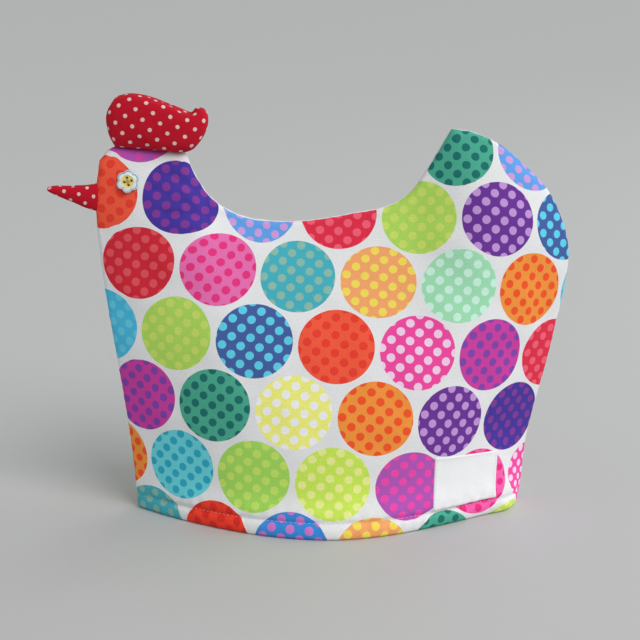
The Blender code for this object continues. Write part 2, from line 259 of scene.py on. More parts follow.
# ---- the pin-spotted cotton
PIN_STEP = 8.2              # between neighbouring spots
PIN_TURN = math.radians(34.4)
PIN_RADIUS = 1.36
PIN_EDGE = 0.22
COMB_PIN = (-120.2, 288.8)          # x and z of one of the comb's spots
BEAK_PIN = (-161.0, 230.6)
BEAK_SQUEEZE = (1.16, 1.07)         # the cloth lies aslant over the beak

# ---- plain colours, in Blender's linear values
CLOTH_WHITE = (0.84, 0.845, 0.855, 1)
LINING_WHITE = (0.80, 0.79, 0.76, 1)
SEAM_WHITE = (0.86, 0.865, 0.875, 1)
TAPE_WHITE = (0.93, 0.935, 0.95, 1)
PIN_REDS = ((0.50, 0.006, 0.020, 1), (0.62, 0.010, 0.030, 1))
PIN_WHITE = (0.84, 0.61, 0.56, 1)
PETAL_WHITE = (0.82, 0.86, 0.84, 1)
PETAL_RIM = (0.52, 0.70, 0.78, 1)
PETAL_LINE = (0.28, 0.46, 0.54, 1)
BUTTON_YELLOW = (0.80, 0.68, 0.17, 1)
# painted shade: the near-black brown in the button's holes stands for the shade deep inside them
HOLE_SHADE_COLOUR = (0.045, 0.018, 0.010, 1)

# ---- thread and label
THREAD_SIDES = 6
THREAD_FLATNESS = 0.8       # a thread's height over its width
STITCH_ARCH = 0.6           # how squarely a stitch dips in at its ends
STITCH_LIFT = 0.6           # how far it stands out, over its radius
STITCH_END = 0.55           # an end's thickness over the middle's
LABEL_BOTTOM = ((80.5, 11.8), (128.2, 13.1))    # x and z of its lower corners
LABEL_TOP = ((82.7, 48.5), (131.1, 44.9))       # and of its upper corners
LABEL_SIZE = (48.0, 35.0)
LABEL_COLUMNS = 60
LABEL_ROWS = 44
LABEL_GAP = 0.12            # between the cloth and the label
LABEL_LIFT = 0.9            # how far its loose lower right corner stands off
LABEL_LOOSE = (0.72, 0.70)  # the shares, going right and down, where that begins
LABEL_THICK = 0.44          # the tape, on top of the thickness at its very edge
LABEL_EDGE = 0.12
LABEL_ROUND = 0.5           # how far in the rounded edge goes
LABEL_FOLD = 0.22           # the turned edge stands this much higher
LABEL_FOLD_PLACE = 0.9      # this far from the edge
LABEL_WAVE = 0.10           # the tape's unevenness: height, then lengths, count, seed
LABEL_WAVES = ((9.0, 24.0), 6, 71)
LABEL_WAVE_RISE = 4.0
LABEL_INSET = 2             # cells from the edge to its stitching

# ---- flower buttons
BUTTON_RADIUS = 8.1
BUTTON_THICK = 2.6
BUTTON_DROP = 1.4           # how far below the node's middle it is sewn on
BUTTON_PETALS = 6
BUTTON_RINGS = 64
BUTTON_SECTORS = 180
RING_POWER = 0.9            # how the rings crowd towards the rim
PETAL_DEPTH = 1.5           # how far in the valleys between the petals reach
PETAL_POWER = 0.75          # how sharp they are
PETAL_TURN = math.radians(-5)       # a valley's angle from the button's right
PETAL_START = (0.35, 0.8)   # the shares of the radius where the outline turns petalled
PETAL_HEIGHT = 2.15
PETAL_RINGS = ((0.90, 0.05, 0.35), (0.80, 0.045, -0.25))    # share, width and height
SHOULDER = 1.15             # how far the rim falls away
SHOULDER_POWER = 2.2
SHOULDER_START = 0.95       # the share of the radius where it begins
VALLEY_SINK = 0.22
VALLEY_START = 1.0          # from the middle's edge outwards
CENTRE_RADIUS = 4.3         # the yellow middle, with a ring round a dish
CENTRE_RING = 0.22
CENTRE_RING_WIDTH = 0.35
CENTRE_DISH = 0.35
DISH_EDGE = 0.9
HOLE_RADIUS = 0.85
HOLE_PLACE = 2.45           # from the button's middle
HOLE_DEPTH = 1.5
HOLE_WALL = (-0.22, 0.12)   # a hole's slope, from its radius
HOLE_TURNS = [math.radians(12 + 90 * k) for k in range(4)]
HOLES = [(HOLE_PLACE * math.cos(turn), HOLE_PLACE * math.sin(turn)) for turn in HOLE_TURNS]
BUTTON_UNDER = ((0.985, 0.35), (0.93, 0.02))    # rings below the rim: size and height
RIM_PAINT = (0.6, 1.1)      # inside the outline, where the rim's blue turns darker
LINE_PAINT = (1.15, 1.75)   # and where the dark line turns to the petals' white
HOLE_SHADE_EDGE = (0.16, -0.10)  # the soft edge of the painted shade in a hole, from its radius
PAINT_EDGE = 0.25           # half width of the yellow's edge
PAINT_BLUR = 0.5            # how unevenly the paint was laid
THREAD_BELOW = 0.5          # the thread's place below the button's top
THREAD_CROSSING = 0.35      # one pair of threads lies this much higher
THREAD_OFFSET = 0.22        # from the pair's middle to each thread
BUTTON_STITCH = (0.24, 0.9)             # radius and sink
TWIST_SCALE = 2600.0
THREAD_SHADE = 0.78         # the thread's dark side
SLUB_RELIEF = 0.8           # the slubs' height over the weave's

# ---- the stage, in metres
FLOOR_REACH = 14.0
FLOOR_GREY = (0.52, 0.523, 0.515, 1)
# Columns: name, tint, strength, way from the object towards the light.
SUNS = (
    ("key_light", (1, 0.99, 0.975), 1.82, (0.40, -0.58, 0.71)),
    ("back_light", (0.92, 0.96, 1), 0.50, (0.50, 0.62, 0.60)),
)
SUN_SOFTNESS = math.radians(40)
# Columns: name, tint, watts, place, width.
FILLS = (
    ("left_fill", (0.98, 0.99, 1), 4.5, (-2.4, -0.8, 0.45), 1.2),
    ("right_fill", (0.92, 0.96, 1), 16.0, (2.2, 0.3, 1.0), 1.6),
)
FILL_AIM = (0, 0, 0.14)
SKY_TINT = (0.95, 0.975, 1, 1)
SKY_STRENGTH = 0.35
CAMERA_PLACE = (-0.08644, -1.23673, 0.44923)
CAMERA_TILT = math.radians(75.849)
CAMERA_TURN = math.radians(-4.268)
CAMERA_LENS = 101.25        # millimetres, as is the sensor
CAMERA_SENSOR = 36.0
CAMERA_REACH = 60.0


# ---- curves and surfaces
def run_lengths(line):
    """How far along a line each of its points lies."""
    return np.r_[0, np.cumsum(np.linalg.norm(np.diff(line, axis=0), axis=-1))]


def interpolated(wanted, places, table):
    """The rows of a table, read off at the wanted places."""
    return np.stack([np.interp(wanted, places, column) for column in table.T], -1)


def smooth_line(points):
    """A Catmull-Rom line through the points, as a dense polyline."""
    given = np.array(points, float)
    knots = np.vstack([2 * given[0] - given[1], given, 2 * given[-1] - given[-2]])
    u = (np.arange(LINE_STEPS) / LINE_STEPS)[:, None]
    dense = [0.5 * (2 * b + (c - a) * u + (2 * a - 5 * b + 4 * c - d) * u ** 2
                    + (3 * b - a - 3 * c + d) * u ** 3)
             for a, b, c, d in zip(knots, knots[1:], knots[2:], knots[3:])]
    return np.vstack(dense + [given[-1:]])


def edge(points, places):
    """Points of a smooth line at places from 0 to 1 of its length."""
    dense = smooth_line(points)
    length = run_lengths(dense)
    return interpolated(np.asarray(places) * length[-1], length, dense)


def top_edge(across):
    """The panel's top edge at column shares, with its two corners in place."""
    points = np.zeros((len(across), 2))
    stretches = (HEAD_TOP, NECK_AND_BACK, TAIL_TOP)
    for line, low, high in zip(stretches, TOP_SHARES, TOP_SHARES[1:]):
        here = (across >= low - 1e-9) & (across <= high + 1e-9)
        points[here] = edge(line, (across[here] - low) / (high - low))
    return points


def patch(lower, upper, left, right, s, t):
    """A Coons patch: points[column, row] filled in between four edges."""
    s = s[:, None, None]
    t = t[None, :, None]
    across = (1 - t) * lower[:, None] + t * upper[:, None]
    along = (1 - s) * left[None] + s * right[None]
    corners = ((1 - s) * (1 - t) * lower[0] + s * (1 - t) * lower[-1]
               + (1 - s) * t * upper[0] + s * t * upper[-1])
    return across + along - corners


def ramp(value, low, high):
    """A soft step from 0 at low to 1 at high."""
    share = np.clip((value - low) / (high - low), 0, 1)
    return share * share * (3 - 2 * share)


def bell(distance, reach):
    """1 at no distance, and softly down to 0 beyond the reach."""
    return np.exp(-(distance / reach) ** 2)


def unit(vectors):
    return vectors / np.linalg.norm(vectors, axis=-1, keepdims=True)


def column_shares(counts):
    """Column places, even between the top edge's corners."""
    pieces = [np.linspace(low, high, count + 1)[:-1]
              for low, high, count in zip(TOP_SHARES, TOP_SHARES[1:], counts)]
    return np.r_[np.concatenate(pieces), 1.0]


def row_shares():
    """Row places: round the hem's edge, up its band, then over the body."""
    low = HEM_ROUND * (1 - np.cos(np.linspace(0, math.pi / 2, HEM_ROUND_ROWS)))
    band = np.arange(HEM_ROUND + HEM_STEP, HEM_ROWS_TOP, HEM_STEP)
    count = int((PANEL_HEIGHT - band[-1]) / FINE_STEP)
    body = np.linspace(band[-1] / PANEL_HEIGHT, 1, count + 1)[1:]
    return np.r_[low / PANEL_HEIGHT, band / PANEL_HEIGHT, body]


def hollow_surface(across, up):
    """The hollow's side of the front panel, at column and row shares."""
    lower = np.stack([BREAST[0][0] + (RUMP[0][0] - BREAST[0][0]) * across,
                      np.zeros(len(across))], -1)
    flat = patch(lower, top_edge(across), edge(BREAST, up), edge(RUMP, up), across, up)
    s = 2 * across[:, None] - 1
    t = up[None, :]
    side = 1 - np.abs(s) ** SIDE_POWER
    body = np.clip(1 - t ** TOP_POWER, 0, 1) ** TOP_FULLNESS
    depth = HEM_DEPTH * side * ((1 - HEM_FLARE) * body + HEM_FLARE * bell(t, FLARE_RISE))
    inside = (1 - s ** PUFF_EDGE_POWER) * (1 - t ** PUFF_EDGE_POWER)
    for x, z, radius, height in PUFFS:
        distance = np.hypot(flat[..., 0] - x, flat[..., 1] - z)
        depth += height * bell(distance, radius) * inside
    return np.stack([flat[..., 0], -depth - HALF_SEAM, flat[..., 1]], -1)


def softened(points, across, up):
    """The surface without the ridges that run down from the outline's corners."""
    soft = points.copy()
    near = sum(bell(across - corner, CORNER_REACH) for corner in TOP_SHARES[1:-1])
    strength = 0.5 * near[1:-1, None, None] * (1 - up ** CORNER_POWER)[None, :, None]
    for _ in range(CORNER_SWEEPS):
        middle = (soft[:-2] + soft[2:]) / 2
        soft[1:-1] += strength * (middle - soft[1:-1])
    return soft


def grid_normals(points, across, up):
    """Unit normals of points[column, row, xyz], on the -Y side."""
    return unit(np.cross(np.gradient(points, across, axis=0),
                         np.gradient(points, up, axis=1)))


def grid_quads(index):
    """The quads of a grid of vertex numbers."""
    quads = np.stack([index[:-1, :-1], index[1:, :-1], index[1:, 1:], index[:-1, 1:]], -1)
    return quads.reshape(-1, 4).tolist()


def resampled(grid, old_across, old_up, across, up):
    """A coarse grid's values at the columns and rows of another grid."""
    wide = np.stack([interpolated(across, old_across, grid[:, row])
                     for row in range(grid.shape[1])], 1)
    return np.stack([interpolated(up, old_up, column) for column in wide])


# ---- laying a curved piece of cloth out flat
def laid_flat(points):
    """Flat places for a grid of surface points, with as little stretch as can be.

    Each triangle is turned in the plane to fit its neighbours, and then all
    the corners are placed at once by least squares, over and over.
    """
    index = np.arange(points.shape[0] * points.shape[1]).reshape(points.shape[:2])
    quads = np.array(grid_quads(index))
    triangles = np.r_[quads[:, :3], quads[:, [0, 2, 3]]]
    place = points.reshape(-1, 3)
    first, second, third = (place[corner] for corner in triangles.T)
    along = unit(second - first)
    up = unit(np.cross(np.cross(second - first, third - first), along))
    local = np.zeros((len(triangles), 3, 2))
    local[:, 1, 0] = np.linalg.norm(second - first, axis=1)
    local[:, 2, 0] = ((third - first) * along).sum(1)
    local[:, 2, 1] = ((third - first) * up).sum(1)
    matrix = np.zeros((len(place), len(place)))
    sides = []
    for k in range(3):
        after, apex = (k + 1) % 3, (k + 2) % 3
        u = local[:, k] - local[:, apex]
        v = local[:, after] - local[:, apex]
        area = np.abs(u[:, 0] * v[:, 1] - u[:, 1] * v[:, 0])
        weight = np.maximum((u * v).sum(1) / area, LEAST_WEIGHT)
        start, end = triangles[:, k], triangles[:, after]
        for p, q, sign in ((start, end, -1), (end, start, -1), (start, start, 1), (end, end, 1)):
            np.add.at(matrix, (p, q), sign * weight)
        sides.append((start, end, weight[:, None], u - v))
    matrix[0, 0] += 1
    solved = np.linalg.inv(matrix)
    flat = place[:, [0, 2]] * START_STRETCH
    for _ in range(LAY_ROUNDS):
        spin = np.zeros((len(triangles), 2, 2))
        for start, end, weight, own in sides:
            change = weight * (flat[start] - flat[end])
            spin += change[:, :, None] * own[:, None, :]
        cosine = spin[:, 0, 0] + spin[:, 1, 1]
        sine = spin[:, 1, 0] - spin[:, 0, 1]
        turn = np.stack([cosine, -sine, sine, cosine], -1).reshape(-1, 2, 2)
        turn /= np.hypot(cosine, sine)[:, None, None]
        wanted = np.zeros_like(flat)
        for start, end, weight, own in sides:
            pull = weight * np.einsum("tij,tj->ti", turn, own)
            np.add.at(wanted, start, pull)
            np.add.at(wanted, end, -pull)
        wanted[0] += flat[0]
        flat = solved @ wanted
    return flat.reshape(*points.shape[:2], 2)


def panel_cloth(surface, across, up):
    """The cloth's flat places over the fine panel: u to the right, v up."""
    coarse_across = column_shares(FLAT_COLUMNS)
    coarse_up = np.linspace(0, 1, FLAT_ROWS + 1)
    outer = resampled(surface, across, up, coarse_across, coarse_up)
    flat = laid_flat(outer)
    middle = len(coarse_across) // 2
    cosine, sine = unit(flat[middle + LEVEL_COLUMNS, 0] - flat[middle - LEVEL_COLUMNS, 0])
    flat = flat @ np.array([[cosine, -sine], [sine, cosine]])
    centre = (BREAST[0][0] + RUMP[0][0]) / 2
    origin = interpolated(centre, outer[:, 0, 0], flat[:, 0])
    return resampled(flat - origin, coarse_across, coarse_up, across, up)


def eased(cloth):
    """The cloth's places with the print's small shifts from the sewing."""
    moved = cloth.copy()
    for u, v, radius, shift_u, shift_v in EASED:
        share = bell(np.hypot(cloth[:, 0] - u, cloth[:, 1] - v), radius)
        moved += share[:, None] * (shift_u, shift_v)
    return moved


# ---- unevenness
def waves(places, lengths, count, seed):
    """A soft random height over flat places, about -1 to 1."""
    draw = np.random.default_rng(seed)
    total = np.zeros(places.shape[:-1])
    for _ in range(count):
        angle = draw.uniform(0, 2 * math.pi)
        length = draw.uniform(*lengths)
        phase = draw.uniform(0, 2 * math.pi)
        across = places[..., 0] * math.cos(angle) + places[..., 1] * math.sin(angle)
        total += np.sin(2 * math.pi * across / length + phase)
    return total / math.sqrt(count)


def creases(places):
    """Soft troughs and ridges along short lines over the flat cloth."""
    total = np.zeros(places.shape[:-1])
    for u0, v0, u1, v1, width, height in NECK_CREASES:
        start = np.array([u0, v0])
        run = np.array([u1 - u0, v1 - v0])
        share = ((places - start) @ run) / (run @ run)
        nearest = start + np.clip(share, 0, 1)[..., None] * run
        total += height * bell(np.linalg.norm(places - nearest, axis=-1), width)
    return total


def hem_inset(height):
    """How far a wall's face draws back near the hem, to round its lower edge."""
    low = np.clip(HEM_ROUND - height, 0, HEM_ROUND)
    return HEM_ROUND - np.sqrt(HEM_ROUND ** 2 - low ** 2)


def hem_relief(height, along, seed):
    """The stitched hem: a groove, a full band below and a fuller roll above."""
    above = height - STITCH_HEIGHT
    groove = -STITCH_SINK * bell(above, STITCH_SPREAD)
    band = HEM_SWELL * np.sin(math.pi * np.clip(height / STITCH_HEIGHT, 0, 1))
    roll = ABOVE_SWELL * bell(above - ABOVE_SPREAD, ABOVE_SPREAD)
    gathers = waves(np.stack([along, height * PUCKER_SLANT], -1), *PUCKERS, seed)
    near = bell(above, PUCKER_REACH) * ramp(np.abs(above), 0, STITCH_SPREAD)
    return groove + band + roll + PUCKER_HEIGHT * gathers * near


# ---- meshes
def linked(name, data):
    """A new object of the scene, made of the data."""
    item = bpy.data.objects.new(name, data)
    bpy.context.scene.collection.objects.link(item)
    return item


def new_piece(name, points, faces, materials, cloth=None, face_material=None):
    """A mesh object from millimetre points, with its cloth's flat places."""
    mesh = bpy.data.meshes.new(name)
    mesh.from_pydata((np.asarray(points) * MM).tolist(), [], faces)
    if cloth is not None:
        flat = mesh.attributes.new("cloth", "FLOAT_VECTOR", "POINT")
        flat.data.foreach_set("vector", np.c_[cloth, np.zeros(len(cloth))].ravel())
    for material in materials:
        mesh.materials.append(material)
    if face_material is not None:
        mesh.polygons.foreach_set("material_index", face_material)
    work = bmesh.new()
    work.from_mesh(mesh)
    bmesh.ops.recalc_face_normals(work, faces=work.faces)
    work.to_mesh(mesh)
    work.free()
    mesh.shade_smooth()
    mesh.update()
    return linked(name, mesh)


def stacked(*grids):
    """The points of several grids as one list."""
    return np.vstack([grid.reshape(-1, grid.shape[-1]) for grid in grids])


def rim_path(columns, rows):
    """Grid places along the seam: up the breast, over the top, down the rump."""
    up = np.arange(rows + 1)
    over = np.arange(1, columns)
    return np.r_[0 * up, over, 0 * up + columns], np.r_[up, 0 * over + rows, up[::-1]]


def closed_path(columns, rows):
    """The same places, and then back along the lower edge to the first."""
    path_columns, path_rows = rim_path(columns, rows)
    back = np.arange(columns)[::-1]
    return np.r_[path_columns, back], np.r_[path_rows, 0 * back]


def mitred(line):
    """How far each point of a line in the XZ plane goes when the line moves out."""
    run = unit(np.diff(line, axis=0) * (1, 0, 1))
    out = np.stack([-run[:, 2], 0 * run[:, 0], run[:, 0]], -1)
    before = np.vstack([out[:1], out])
    after = np.vstack([out, out[-1:]])
    return (before + after) / (1 + (before * after).sum(-1, keepdims=True))


def panel_surfaces(seed):
    """A front panel's inner face, its shown inside and outside, and their places."""
    across = column_shares(FINE_COLUMNS)
    up = row_shares()
    inner = softened(hollow_surface(across, up), across, up)
    height = np.stack([run_lengths(column) for column in inner])
    normals = grid_normals(inner, across, up)
    normals[..., 2] *= ramp(height, 0, UPRIGHT_RISE)
    normals = unit(normals)
    flat = panel_cloth(inner + WALL * normals, across, up)
    s = 2 * across[:, None] - 1
    fade = (1 - s ** RELIEF_POWER) * (1 - up ** RELIEF_POWER)
    relief = WAVE_HEIGHT * waves(flat, *WAVES, seed) * ramp(height, *WAVE_RISE)
    relief += creases(flat) + hem_relief(height, flat[..., 0], seed + 1)
    outer = inner + (WALL + relief * fade - hem_inset(height))[..., None] * normals
    facing = hem_inset(height) + FACING_SINK * bell(height - STITCH_HEIGHT, STITCH_SPREAD)
    inside = inner + (facing * fade ** FACING_POWER)[..., None] * normals
    return inner, inside, outer, normals, flat, height


def rim_rings(rim, inner, outer, flat, height, seed):
    """The rings that round the padded edge, from the outer face to the seam."""
    line = inner[rim]
    outward = mitred(line)
    outward[:, 2] *= ramp(height[rim], 0, UPRIGHT_RISE)
    reach = np.linalg.norm(outward, axis=-1, keepdims=True)
    outward /= reach
    start = outer[rim] - line
    thick = np.linalg.norm(start, axis=-1, keepdims=True)
    facing = start / thick
    angle = np.arccos(np.clip((facing * outward).sum(-1, keepdims=True), -1, 1))
    length = run_lengths(line)
    gathers = waves(np.stack([length, 0 * length], -1), *SEAM_PUCKERS, seed)[:, None]
    run = np.gradient(flat[rim], axis=0)
    cloth_out = unit(np.stack([-run[:, 1], run[:, 0]], -1))
    rings = []
    cloths = []
    for turn in np.linspace(0, 1, RIM_STEPS + 1)[1:]:
        toward = np.sin((1 - turn) * angle) * facing + np.sin(turn * angle) * outward
        gather = SEAM_PUCKER * gathers * math.sin(math.pi * turn) ** 0.5
        sink = SEAM_SINK * ramp(turn, SEAM_TURN, 1)
        away = thick * (1 + turn * (reach - 1)) - sink + gather
        ring = line + away * toward / np.sin(angle)
        ring[:, 1] += (HALF_SEAM - VISIBLE_GAP) * turn
        rings.append(ring)
        cloths.append(flat[rim] + WALL * turn * angle * cloth_out)
    return rings, cloths


def panel_piece(name, side, seed, shift, materials):
    """One padded panel as a closed cloth wall; side is -1 front, 1 back."""
    inner, inside, outer, normals, flat, height = panel_surfaces(seed)
    columns, rows = height.shape
    rim = rim_path(columns - 1, rows - 1)
    rings, ring_cloths = rim_rings(rim, inner, outer, flat, height, seed + 2)
    outer_index = np.arange(height.size).reshape(height.shape)
    inner_index = outer_index + height.size
    ring_index = 2 * height.size + np.arange(RIM_STEPS * len(rim[0])).reshape(RIM_STEPS, -1)
    bands = np.vstack([outer_index[rim], ring_index, inner_index[rim]]).T
    hem = np.stack([inner_index[:, 0], outer_index[:, 0]], -1)
    shown = grid_quads(outer_index) + grid_quads(bands) + grid_quads(hem)
    shown += bands[[0, -1]].tolist()
    lining = (height[:-1, :-1] > STITCH_HEIGHT).ravel().astype(int)
    face_material = np.r_[np.zeros(len(shown), int), lining]
    seam = inner[rim][:-1]
    by_top = (seam[:, 0] > PALE_EDGE[0]) & (seam[:, 0] < PALE_EDGE[1 if side < 0 else 2])
    by_top &= seam[:, 2] > PALE_EDGE_ABOVE
    turned = np.arange(RIM_STEPS + 1) / RIM_STEPS > PALE_TURN
    pale = (by_top[:, None] & turned).ravel()
    first = (columns - 1) * (rows - 1)
    face_material[first:first + len(pale)][pale] = 2
    inner_cloth = np.stack([flat[..., 0], -height], -1)
    mirror = (1, -side, 1)
    points = stacked(outer, inside, *rings) * mirror
    cloth = eased(stacked(flat, inner_cloth, *ring_cloths)) * (-side, 1) + shift
    faces = shown + grid_quads(inner_index)
    piece = new_piece(name, points, faces, materials, cloth, face_material)
    return piece, outer * mirror, normals * mirror, height


# ---- the stuffed comb and beak
def pillow_half(edges, half_depth, counts):
    """One half of a stuffed shape that swells between its four edges."""
    base, top, front, back = edges
    even_s, even_t = (np.linspace(0, 1, count + 1) for count in counts)
    along, up = ((1 - np.cos(math.pi * even)) / 2 for even in (even_s, even_t))
    flat = patch(edge(base, along), edge(top, along), edge(front, up), edge(back, up),
                 even_s, even_t)
    swell = np.sin(math.pi * even_s)[:, None] * np.sin(math.pi * even_t)
    depth = half_depth * np.sqrt(np.clip(swell, 0, 1))
    return np.stack([flat[..., 0], -depth, flat[..., 1]], -1)


def pillow_piece(name, edges, half_depth, counts, flat_counts, pin, seed, material,
                 squeeze=1):
    """A stuffed piece: two halves with gathers along the seam between them."""
    half = pillow_half(edges, half_depth, counts)
    coarse = laid_flat(pillow_half(edges, half_depth * PILLOW_FLATNESS, flat_counts))
    across, up = (np.linspace(0, 1, count + 1) for count in counts)
    middle = (counts[0] // 2, counts[1] // 2)
    runs = [run_lengths(half[:, middle[1]]), run_lengths(half[middle[0]])]
    fine = [run / run[-1] for run in runs]
    wide = [np.interp(np.linspace(0, 1, count + 1), even, own)
            for count, even, own in zip(flat_counts, (across, up), fine)]
    flat = resampled(coarse, *wide, *fine)
    flat = (flat - flat[middle] + half[middle][[0, 2]] - pin) * squeeze
    normals = grid_normals(half, across, up)
    normals[[0, -1]] = normals[[1, -2]]
    normals[:, [0, -1]] = normals[:, [1, -2]]
    inward = np.sin(math.pi * across)[:, None] * np.sin(math.pi * up)
    near_seam = bell(inward, PILLOW_SEAM)
    relief = PILLOW_GATHER * waves(flat, *PILLOW_GATHERS, seed) * near_seam
    relief += PILLOW_WAVE * waves(flat, *PILLOW_WAVES, seed + 1) * (1 - near_seam)
    centre = np.array([half[..., 0].mean(), 0, half[..., 2].mean()])
    groove = PILLOW_GROOVE * bell(inward, PILLOW_GROOVE_REACH)
    drawn_in = half + unit(centre - half) * groove[..., None] * (1, 0, 1)
    front, back = (drawn_in + (uneven * np.sqrt(inward))[..., None] * normals
                   for uneven in (relief, np.roll(relief, BACK_ROLL, axis=0)))
    front_index = np.arange(inward.size).reshape(inward.shape)
    back_index = front_index.copy()
    own = back_index[1:-1, 1:-1]
    own[:] = inward.size + np.arange(own.size).reshape(own.shape)
    points = stacked(front, back[1:-1, 1:-1] * (1, -1, 1))
    faces = grid_quads(front_index) + grid_quads(back_index)
    return new_piece(name, points, faces, [material], stacked(flat, flat[1:-1, 1:-1]))


# ---- thread
def row_points(points, normals, height, wanted):
    """The panel's points and normals along a line at one height above the hem."""
    line, facing = (np.array([interpolated(wanted, places, column)
                              for places, column in zip(height, grid)])
                    for grid in (points, normals))
    return line, unit(facing)


def stitch_mesh(start, end, facing, radius, sink):
    """One stitch: a thread that dips into the cloth at both ends."""
    side = np.cross(unit(end - start), facing)
    angle = 2 * math.pi * np.arange(THREAD_SIDES)[:, None] / THREAD_SIDES
    ring = np.cos(angle) * side + THREAD_FLATNESS * np.sin(angle) * facing
    points = []
    for share in STITCH_SHARES:
        arch = math.sin(math.pi * share) ** STITCH_ARCH
        lift = sink * (arch - 1) + radius * STITCH_LIFT
        thick = radius * (STITCH_END + (1 - STITCH_END) * arch)
        points.extend(start + (end - start) * share + facing * lift + thick * ring)
    index = np.arange(len(points)).reshape(-1, THREAD_SIDES)
    faces = grid_quads(np.c_[index, index[:, :1]])
    return points, faces + [index[0].tolist(), index[-1].tolist()]


def joined(meshes):
    """The points and faces of several meshes as one."""
    points = []
    faces = []
    for own, own_faces in meshes:
        faces += [[number + len(points) for number in face] for face in own_faces]
        points += own
    return points, faces


def stitch_row(line, facing, pitch, length, radius, sink, seed):
    """Stitches along a line, with the small unevenness of real sewing."""
    draw = np.random.default_rng(seed)
    run = run_lengths(line)
    count = int(run[-1] / pitch)
    stitches = []
    for number in range(count):
        middle = (number + 0.5) * run[-1] / count + draw.uniform(-STITCH_JITTER, STITCH_JITTER)
        ends = interpolated([middle - length / 2, middle + length / 2], run, line)
        out = unit(interpolated(middle, run, facing))
        stitches.append(stitch_mesh(*ends, out, radius, sink))
    return joined(stitches)


# ---- the label
def under_label(tree):
    """Points and normals of the front cloth under the label."""
    left, right = np.linspace(LABEL_BOTTOM, LABEL_TOP, LABEL_ROWS + 1, axis=1)
    points = np.array([[tree.ray_cast(Vector((x * MM, -1, z * MM)), Vector((0, 1, 0)))[0]
                        for x, z in column]
                       for column in np.linspace(left, right, LABEL_COLUMNS + 1)]) / MM
    return points, grid_normals(points, np.arange(LABEL_COLUMNS + 1.0),
                                np.arange(LABEL_ROWS + 1.0))


def label_piece(tree, material):
    """A woven tape patch, turned under at its edges and sewn on."""
    under, out = under_label(tree)
    flat = np.stack(np.meshgrid(np.linspace(0, LABEL_SIZE[0], LABEL_COLUMNS + 1),
                                np.linspace(0, LABEL_SIZE[1], LABEL_ROWS + 1),
                                indexing="ij"), -1)
    right = ramp(flat[..., 0] / LABEL_SIZE[0], LABEL_LOOSE[0], 1)
    down = ramp(1 - flat[..., 1] / LABEL_SIZE[1], LABEL_LOOSE[1], 1)
    lift = LABEL_GAP + LABEL_LIFT * right * down
    inset = np.minimum(flat, LABEL_SIZE - flat).min(-1)
    thick = LABEL_EDGE + LABEL_FOLD * bell(inset - LABEL_FOLD_PLACE, LABEL_FOLD_PLACE)
    thick += LABEL_THICK * np.sqrt(1 - np.clip(1 - inset / LABEL_ROUND, 0, 1) ** 2)
    thick += LABEL_WAVE * waves(flat, *LABEL_WAVES) * np.clip(inset / LABEL_WAVE_RISE, 0, 1)
    low = under + lift[..., None] * out
    high = low + thick[..., None] * out
    low_index = np.arange(lift.size).reshape(lift.shape)
    high_index = low_index + lift.size
    around = closed_path(LABEL_COLUMNS, LABEL_ROWS)
    band = np.stack([high_index[around], low_index[around]], -1)
    faces = grid_quads(high_index) + grid_quads(low_index) + grid_quads(band)
    label = new_piece("label", stacked(low, high), faces, [material], stacked(flat, flat))
    return label, high, out


def label_stitches(high, out, material):
    """The stitching just inside the label's four edges."""
    inside = slice(LABEL_INSET, -LABEL_INSET)
    path = closed_path(LABEL_COLUMNS - 2 * LABEL_INSET, LABEL_ROWS - 2 * LABEL_INSET)
    line, facing = (grid[inside, inside][path][:-1] for grid in (high, out))
    return new_piece("label_stitches", *stitch_row(line, facing, *LABEL_STITCH, 31), [material])


# ---- flower buttons
def button_frame(node):
    """A sewn-on button's middle, the way out of the cloth and its own right and up."""
    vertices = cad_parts[node].data.vertices
    points = np.array([vertex.co for vertex in vertices]) / MM
    centre = points.mean(0)
    spread = points - centre
    out = np.linalg.eigh(spread.T @ spread)[1][:, 0]
    out = out * np.sign(out[1] * centre[1])
    right = unit(np.cross((0, 0, 1), out))
    up = np.cross(out, right)
    return centre - BUTTON_DROP * up, out, right, up


def petal_wave(angle):
    """0 in the valleys between the petals, 1 along their middles."""
    return np.abs(np.sin(BUTTON_PETALS * (angle - PETAL_TURN) / 2))


def button_height(share, radius, angle, x, y):
    """The button's upper face over its flat back."""
    shoulder = np.clip((share - SHOULDER_START) / (1 - SHOULDER_START), 0, 1)
    height = PETAL_HEIGHT - SHOULDER * shoulder ** SHOULDER_POWER
    for place, width, rise in PETAL_RINGS:
        height = height + rise * bell(share - place, width)
    valleys = VALLEY_SINK * (1 - petal_wave(angle) ** 0.5)
    height = height - valleys * ramp(radius, CENTRE_RADIUS, CENTRE_RADIUS + VALLEY_START)
    height = height + CENTRE_RING * bell(radius - CENTRE_RADIUS, CENTRE_RING_WIDTH)
    height = height - CENTRE_DISH * (1 - ramp(radius, CENTRE_RADIUS - DISH_EDGE, CENTRE_RADIUS))
    for hole_x, hole_y in HOLES:
        distance = np.hypot(x - hole_x, y - hole_y)
        wall = ramp(distance, HOLE_RADIUS + HOLE_WALL[0], HOLE_RADIUS + HOLE_WALL[1])
        height = height - HOLE_DEPTH * (1 - wall)
    return height


